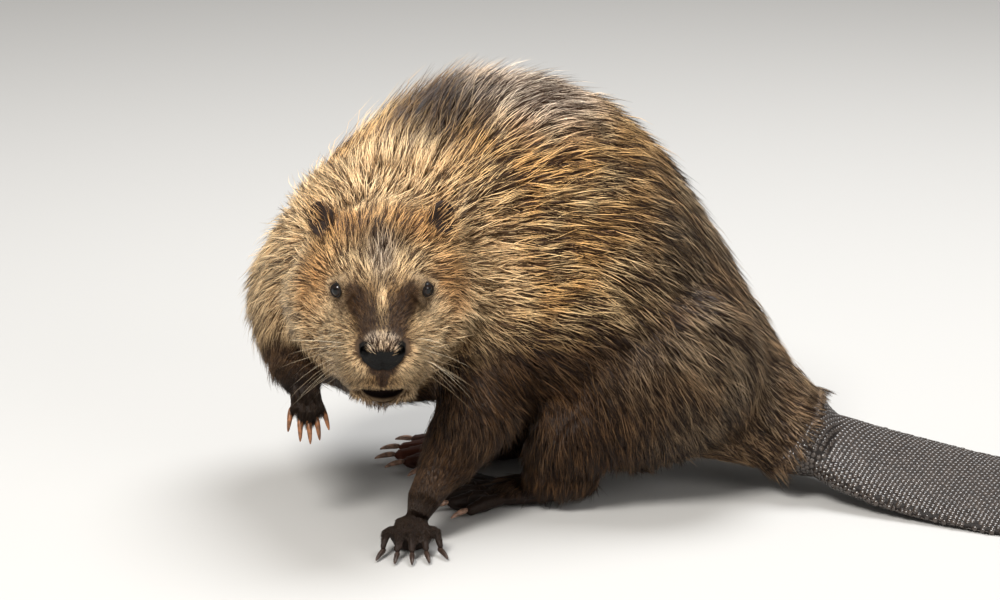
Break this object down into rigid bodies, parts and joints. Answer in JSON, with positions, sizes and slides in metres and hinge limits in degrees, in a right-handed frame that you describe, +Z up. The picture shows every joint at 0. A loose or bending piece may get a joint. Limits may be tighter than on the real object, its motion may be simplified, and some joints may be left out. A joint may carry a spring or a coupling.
{
  "type": "beaver model",
  "caption": "Life-size still model of a North American beaver standing with one forepaw lifted and its head turned to its left.",
  "frame": {"origin": "on the floor under the middle of the whole animal's box", "axes": "+Z up, +Y from the chest towards the tail's tip, +X towards the animal's left, where its face points"},
  "size_m": [0.4454, 0.8056, 0.3897],
  "materials": {
    "coat": "damp brown fur with golden tips",
    "dark_coat": "short dark reddish-brown fur",
    "ear_coat": "short near-black fur",
    "foot_skin": "dark creased skin",
    "tail_skin": "dark grey-brown scales, damp",
    "claw": "brown horn",
    "nose": "moist black skin",
    "eye": "glossy near-black"
  },
  "bodies": {
    "root": {"ear_left": "ear_coat", "ear_right": "ear_coat", "eye_left": "eye", "eye_right": "eye", "foreclaw_left_fifth": "claw", "foreclaw_left_first": "claw", "foreclaw_left_fourth": "claw", "foreclaw_left_second": "claw", "foreclaw_left_third": "claw", "foreclaw_right_fifth": "claw", "foreclaw_right_first": "claw", "foreclaw_right_fourth": "claw", "foreclaw_right_second": "claw", "foreclaw_right_third": "claw", "forefoot_left": "foot_skin", "forefoot_right": "foot_skin", "foreleg_left_lower": "dark_coat", "foreleg_left_upper": "coat", "foreleg_right_lower": "dark_coat", "foreleg_right_upper": "coat", "head": "coat", "hindclaw_left_fifth": "claw", "hindclaw_left_first": "claw", "hindclaw_left_fourth": "claw", "hindclaw_left_second": "claw", "hindclaw_left_third": "claw", "hindclaw_right_fifth": "claw", "hindclaw_right_first": "claw", "hindclaw_right_fourth": "claw", "hindclaw_right_second": "claw", "hindclaw_right_third": "claw", "hindfoot_left": "foot_skin", "hindfoot_right": "foot_skin", "hindleg_left_lower": "dark_coat", "hindleg_left_upper": "coat", "hindleg_right_lower": "dark_coat", "hindleg_right_upper": "coat", "neck": "coat", "nose": "nose", "tail_paddle": "tail_skin", "tail_root": "coat", "trunk": "coat"}
  },
  "joints": []
}
